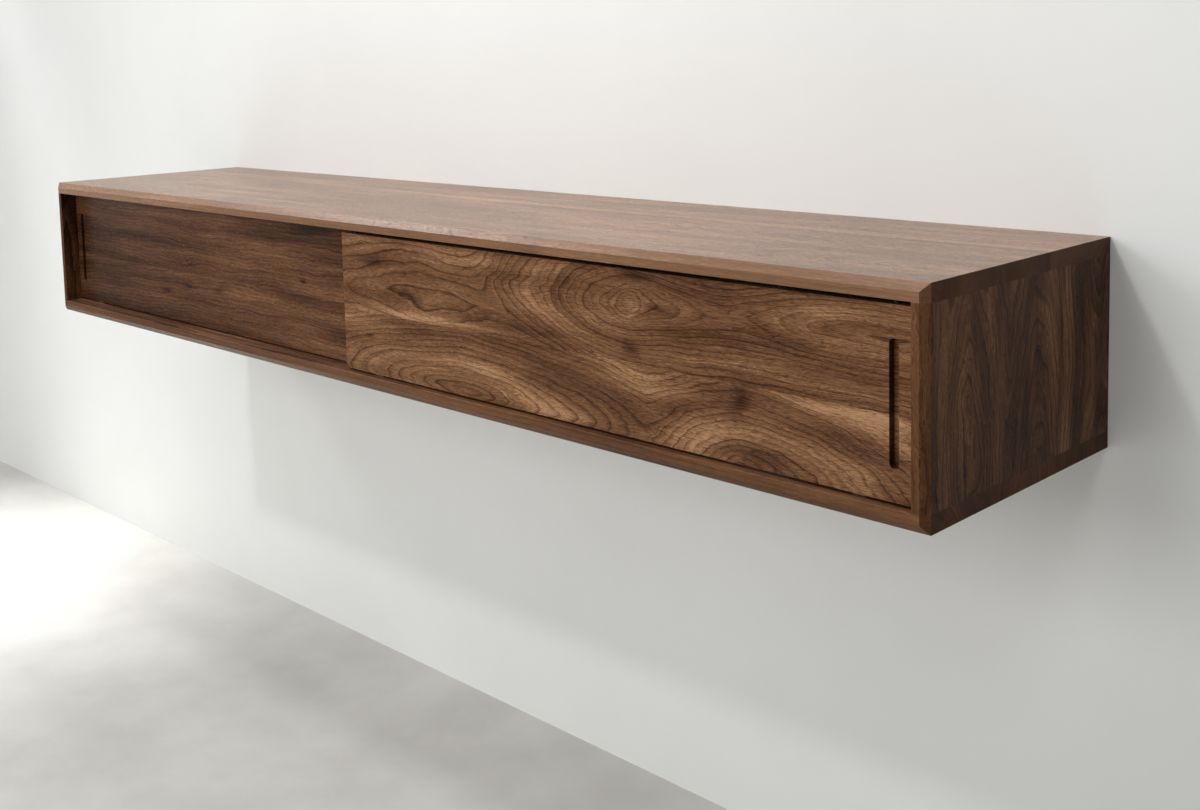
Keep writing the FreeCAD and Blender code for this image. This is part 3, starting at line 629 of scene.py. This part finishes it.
POPLAR = (
    (0.0, (0.230, 0.200, 0.110)),
    (0.4, (0.460, 0.380, 0.220)),
    (1.0, (0.720, 0.620, 0.430)),
)
for seed, node in enumerate(("hanging_rail", "lower_spacer", "wall_cleat"), start=20):
    low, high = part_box(node)
    planed = wood(
        "poplar_" + node, ON_EDGE, (low.x, low.y, high.z), seed=seed, colours=POPLAR,
        tone=0.66, contrast=0.6, wander=0.5, polish=0.2, figure=hearts((700, 90, 16, 16, -30)),
    )
    dress(planed, node)

# ---------------------------------------------------------------- divider screws
#
# Three zinc-plated wood screws are driven through the rail and the spacer into the divider's
# back edge, and hold it upright.

DULLED = 0.72
UNEVEN = 0.2


def steel(name, colour, roughness):
    """Plated steel, a little uneven in colour and polish."""
    make = Finish(name)
    make.surface.inputs["Metallic"].default_value = 1.0
    place = make.add("TexCoord", {}).outputs["Object"]
    bloom = make.noise(place, (220, 220, 220), detail=3.0, roughness=0.6)
    dull = tuple(DULLED * part for part in colour)
    make.feed(make.surface.inputs["Base Color"], make.ramp(bloom, ((0.3, dull), (0.7, colour))))
    worn = make.maths("MULTIPLY_ADD", bloom, UNEVEN, roughness)
    make.feed(make.surface.inputs["Roughness"], worn)
    return make.material


zinc = steel("zinc_plate", (0.66, 0.67, 0.68), roughness=0.24)
dress(zinc, "divider_screws")

# ---------------------------------------------------------------- tracks and channels
#
# Brown extruded plastic. The rollers run in the two tracks let into the bottom, and the guide
# pins in the two channels let into the top.

RUBBED = 1.25


def plastic(name, colour, roughness, stretch, depth=0.02 * MM, polish=0.5):
    """Moulded or extruded plastic, with a fine texture stretched as it was drawn."""
    make = Finish(name)
    make.surface.inputs["Specular IOR Level"].default_value = polish
    place = make.add("TexCoord", {}).outputs["Object"]
    texture = make.noise(place, stretch, detail=3.0, roughness=0.6)
    rubbed = tuple(min(RUBBED * part, 1.0) for part in colour)
    colours = make.ramp(texture, ((0.35, colour), (0.75, rubbed)))
    make.feed(make.surface.inputs["Base Color"], colours)
    worn = make.maths("MULTIPLY_ADD", texture, UNEVEN, roughness)
    make.feed(make.surface.inputs["Roughness"], worn)
    make.roughen(texture, depth, strength=0.4)
    return make.material


extruded_brown = plastic("extruded_brown", (0.085, 0.045, 0.028), 0.34, (6, 900, 900))
dress(extruded_brown, "front_bottom_track", "rear_bottom_track", "front_top_channel",
      "rear_top_channel")

# ---------------------------------------------------------------- channel stops
#
# Four blocks of black rubber are pushed into the ends of the channels. The guide pins run up to
# them, and the doors stop there.

black_rubber = plastic("black_rubber", (0.022, 0.022, 0.022), 0.62, (1500, 1500, 1500))
dress(black_rubber, "channel_stops")

# ---------------------------------------------------------------- the doors
#
# Each door is two walnut boards with level grain, glued edge to edge. A finger pull with round
# ends is routed near its outer edge, across both boards, and it is drilled for its hardware.

PULL_WIDTH = 11 * MM
PULL_LENGTH = 134.5 * MM
PULL_DEPTH = 9.5 * MM
PULL_FROM_EDGE = 23 * MM
FIT = 0.05 * MM

# painted shade: the rear door is painted darker towards its outer end, for the shade that the end
# of the case casts into its recess, and it is a little paler right of its middle
PAINTED_SHADE_AT_END = (0, 105, 260, 260, -0.16)
PALE_MIDDLE = (640, 105, 230, 140, 0.06)

UPPER_FIGURE = {
    "right": dict(
        tone=0.68,
        figure=hearts((578, 38, 2.4, 5, 6), (880, 35, 4.4, 20, 4), (190, 75, 6, 7, 112),
                      knots=((582, 41, 18, 15, 13),)),
        smudges=((577, 96, 14, 10, -0.30), (590, 6, 26, 6, -0.26), (636, 43, 24, 5, -0.26),
                 (80, 37, 24, 6, -0.22), (230, 105, 230, 5, 0.22), (584, 41, 12, 9, 0.20)),
    ),
    "left": dict(
        # painted shade: the rear door is toned darker than the front door for the shade in its deeper
        # recess
        tone=0.46, contrast=0.75, wander=1.3,
        figure=hearts((400, -160, 40, 40, -60)),
        smudges=((794, 91, 9, 4, -0.35), (810, 9, 45, 8, -0.25), PAINTED_SHADE_AT_END, PALE_MIDDLE),
    ),
}
LOWER_FIGURE = {
    "right": dict(
        tone=0.68,
        figure=hearts((277, 196, 4.8, 4.8, 1), (747, 204, 1.9, 3.1, 1)),
        smudges=((745, 134, 13, 18, -0.30), (765, 199, 38, 16, -0.20), (66, 150, 9, 4, -0.25),
                 (870, 119, 110, 5, 0.22), (700, 175, 90, 20, 0.06)),
    ),
    "left": dict(
        # painted shade: the rear door is toned darker than the front door for the shade in its deeper
        # recess
        tone=0.46, contrast=0.75, wander=1.3,
        figure=hearts((620, 290, 10, 10, 6)),
        smudges=((359, 152, 16, 5, -0.25), (434, 134, 18, 4, -0.22), (539, 134, 18, 5, -0.22),
                 (799, 164, 60, 12, 0.18), PAINTED_SHADE_AT_END, PALE_MIDDLE),
    ),
}


def finger_pull(centre):
    """The shape that the router takes out: a slot with round ends."""
    reach = Vector((PULL_WIDTH / 2, PULL_DEPTH, PULL_LENGTH / 2))
    slot = block("finger_pull", centre - reach, centre + reach)
    open_up(slot)
    mesh = bmesh.from_edit_mesh(slot.data)
    for edge in mesh.edges:
        front, back = edge.verts
        edge.select_set(near(front.co.x, back.co.x) and near(front.co.z, back.co.z))
    bmesh.update_edit_mesh(slot.data)
    bpy.ops.mesh.bevel(offset=PULL_WIDTH / 2 - MERGED, segments=10, profile=0.5)
    close_up()
    return slot


for name, side in (("left", -1), ("right", 1)):
    DOOR = (f"{name}_door_upper_board", f"{name}_door_lower_board")
    door_low, door_high = span(*DOOR)
    door = block(name + "_door", door_low, door_high)
    outer_edge = door_high.x if side > 0 else door_low.x
    pull_x, middle = outer_edge - side * PULL_FROM_EDGE, (door_low.z + door_high.z) / 2
    cut(door, finger_pull(Vector((pull_x, door_low.y, middle))))
    ease(door, ARRIS, lambda at: near(at.y, door_low.y) or near(at.y, door_high.y))
    joint(door, f"{name}_roller_housings", f"{name}_guide_pins", f"{name}_housing_screws", play=FIT)
    door_corner = (door_low.x, door_low.y, door_high.z)
    boards_of(door, DOOR, 2, name + "_door", {
        DOOR[0]: [wood(f"walnut_{name}_door_upper", ON_EDGE, door_corner, seed=10.0 + side,
                       **UPPER_FIGURE[name])],
        DOOR[1]: [wood(f"walnut_{name}_door_lower", ON_EDGE, door_corner, seed=12.0 + side,
                       **LOWER_FIGURE[name])],
    })

# ---------------------------------------------------------------- roller housings
#
# Black moulded housings are screwed into the bottom edge of each door, and carry the rollers on
# steel axles.

black_plastic = plastic("black_plastic", (0.020, 0.020, 0.022), 0.50, (1200, 1200, 1200),
                        polish=0.15)
bright_steel = steel("bright_steel", (0.70, 0.70, 0.70), 0.16)
for name in ("left", "right"):
    dress(black_plastic, f"{name}_roller_housings")
    dress(zinc, f"{name}_housing_screws")
    dress(bright_steel, f"{name}_roller_axles")

# ---------------------------------------------------------------- rollers
#
# Two small wheels under each door, turned from white nylon. They run free on the axles, with
# their rims in the track.

white_nylon = plastic("white_nylon", (0.66, 0.65, 0.61), 0.36, (900, 900, 900))
for name in ("left", "right"):
    dress(white_nylon, f"{name}_outer_roller", f"{name}_inner_roller")

# ---------------------------------------------------------------- guide pins
#
# Two pins of black nylon stand in the top edge of each door. They reach into its channel and
# keep the door upright.

for name in ("left", "right"):
    dress(black_plastic, f"{name}_guide_pins")

# ---------------------------------------------------------------- the room
#
# A pale wall that the console hangs on and a pale floor well below it. Both show one side only,
# so that the back and the underside can be seen, and light passes the wall behind the case.

FLOOR_BELOW = 0.688
ROOM = 16
WALL_GAP = 0.5 * MM

# how far inside the case's outline the wall starts to let light through
HIDDEN = 3 * MM

MATT = 0.8
FAINT_SHINE = 0.1
case_low, case_high = span(*TOP, *BOTTOM)
floor_z = case_low.z - FLOOR_BELOW


def one_sided(name, colour, shade, clouds, lets_light_through=False):
    """Matt paint or screed, faintly mottled, and clear from behind. Where it lets light through,
    it is there for the eye alone."""
    make = Finish(name)
    make.surface.inputs["Roughness"].default_value = MATT
    make.surface.inputs["Specular IOR Level"].default_value = FAINT_SHINE
    place = make.add("TexCoord", {}).outputs["Object"]
    mottle = make.noise(place, clouds, detail=5.0, roughness=0.6)
    make.feed(make.surface.inputs["Base Color"], make.ramp(mottle, ((0.35, shade), (0.65, colour))))
    clear = make.add("BsdfTransparent", {}).outputs[0]
    gone = make.add("NewGeometry", {}).outputs["Backfacing"]
    if lets_light_through:
        looked_at = make.add("LightPath", {}).outputs["Is Camera Ray"]
        gone = make.maths("MAXIMUM", gone, make.maths("SUBTRACT", 1.0, looked_at))
    both = make.add("MixShader", {0: gone, 1: make.surface.outputs[0], 2: clear})
    make.feed(make.tree.nodes["Material Output"].inputs["Surface"], both.outputs[0])
    return make.material


def sheet(name, centre, turn, material):
    """One square side of the room, which isn't a part of the console."""
    bpy.ops.object.select_all(action="DESELECT")
    bpy.ops.mesh.primitive_plane_add(size=ROOM, location=centre, rotation=turn)
    piece = bpy.context.object
    piece.name = piece.data.name = name
    bpy.ops.object.transform_apply()
    piece.data.materials.append(material)
    return piece


sheet("floor", (0, -ROOM / 2, floor_z), FLAT,
      one_sided("pale_screed", (0.66, 0.65, 0.62), (0.58, 0.57, 0.54), (5, 5, 5)))
PAINT = ((0.86, 0.87, 0.855), (0.83, 0.84, 0.825), (2, 2, 2))
wall = sheet("wall", (0, WALL_GAP, floor_z + ROOM / 2), ON_EDGE, one_sided("white_wall", *PAINT))
wall.data.materials.append(one_sided("wall_behind_case", *PAINT, lets_light_through=True))
for x in (case_low.x + HIDDEN, case_high.x - HIDDEN):
    saw(wall, (x, 0, 0), (1, 0, 0), keep_waste=True)
for z in (case_low.z + HIDDEN, case_high.z - HIDDEN):
    saw(wall, (0, 0, z), (0, 0, 1), keep_waste=True)
for face in wall.data.polygons:
    if near(face.center.x, 0) and case_low.z < face.center.z < case_high.z:
        face.material_index = 1

# ---------------------------------------------------------------- light
#
# Daylight from the left and the front: a small high window draws the shadow on the wall, a far
# one shines on the chamfer, and softer ones fill in. Two lamps light the wall over the case and
# the floor on the left, and the room's own light is white and even.

ROOM_LIGHT = 0.12

world = bpy.data.worlds.new("room_light")
bpy.context.scene.world = world
world.use_nodes = True
sky = world.node_tree


def larger_of(one, other):
    """The larger of two numbers in the room light's own nodes."""
    node = sky.nodes.new("ShaderNodeMath")
    node.operation = "MAXIMUM"
    sky.links.new(one, node.inputs[0])
    sky.links.new(other, node.inputs[1])
    return node.outputs[0]


# plain white wherever it is looked at or mirrored, and dim where it lights the room
rays = sky.nodes.new("ShaderNodeLightPath").outputs
mirrored = larger_of(rays["Is Glossy Ray"], rays["Is Transmission Ray"])
seen = larger_of(rays["Is Camera Ray"], mirrored)
strength = sky.nodes.new("ShaderNodeMapRange")
strength.inputs["To Min"].default_value = ROOM_LIGHT
strength.inputs["To Max"].default_value = 1.0
sky.links.new(seen, strength.inputs["Value"])
sky.nodes["Background"].inputs["Color"].default_value = (1, 1, 1, 1)
sky.links.new(strength.outputs[0], sky.nodes["Background"].inputs["Strength"])


def lamp(name, place, target, size, watts, spread=180):
    """An oblong lamp that faces a target; spread is how wide its light opens, in degrees."""
    light = bpy.data.lights.new(name, "AREA")
    light.shape = "RECTANGLE"
    light.size, light.size_y = size
    light.energy = watts
    light.spread = math.radians(spread)
    piece = bpy.data.objects.new(name, light)
    bpy.context.collection.objects.link(piece)
    piece.location = place
    piece.rotation_euler = (Vector(target) - Vector(place)).to_track_quat("-Z", "Y").to_euler()


lamp("high_window", (-1.0, -3.6, 4.0), (0, 0, 0), (0.4, 0.3), 60)
lamp("side_window", (1.6, -2.6, 1.8), (0, 0, 0.2), (0.8, 0.7), 9)
lamp("wide_window", (-0.6, -3.2, 0.9), (0, 0, -0.2), (2.4, 1.2), 38)
lamp("far_window", (-6.0, -3.0, 4.5), (0, -0.4, 0.1), (2.4, 1.2), 95)
lamp("low_window", (0.4, -3.5, -0.2), (0, 0, -0.4), (2.0, 1.2), 9)
lamp("wall_lamp", (-0.1, -0.9, 2.2), (-0.1, 0, 0.5), (1.2, 0.3), 19)
lamp("floor_strip", (-2.5, -0.2, 1.2), (-1.55, -0.42, -0.82), (0.6, 0.1), 4, spread=36)

# ---------------------------------------------------------------- camera
#
# To the right of the case and in front of it, a little above the top, looking back along the
# doors. It is turned a hair off level.

PLACE = (1.66221, -1.56798, 0.34865)
YAW, PITCH, ROLL = 0.79438, 0.09877, -0.0252
LENS = 41.027
SENSOR = 36.0
SHIFT = (0.02497, -0.181395)

lens = bpy.data.cameras.new("camera")
lens.lens = LENS
lens.sensor_width = SENSOR
lens.shift_x, lens.shift_y = SHIFT
camera = bpy.data.objects.new("camera", lens)
bpy.context.collection.objects.link(camera)
camera.location = PLACE
ahead = Vector((-math.sin(YAW) * math.cos(PITCH), math.cos(YAW) * math.cos(PITCH), -math.sin(PITCH)))
level = ahead.to_track_quat("-Z", "Y").to_matrix()
camera.rotation_euler = (level @ Euler((0, 0, ROLL)).to_matrix()).to_euler()
bpy.context.scene.camera = camera
bpy.context.scene.view_settings.view_transform = "Standard"
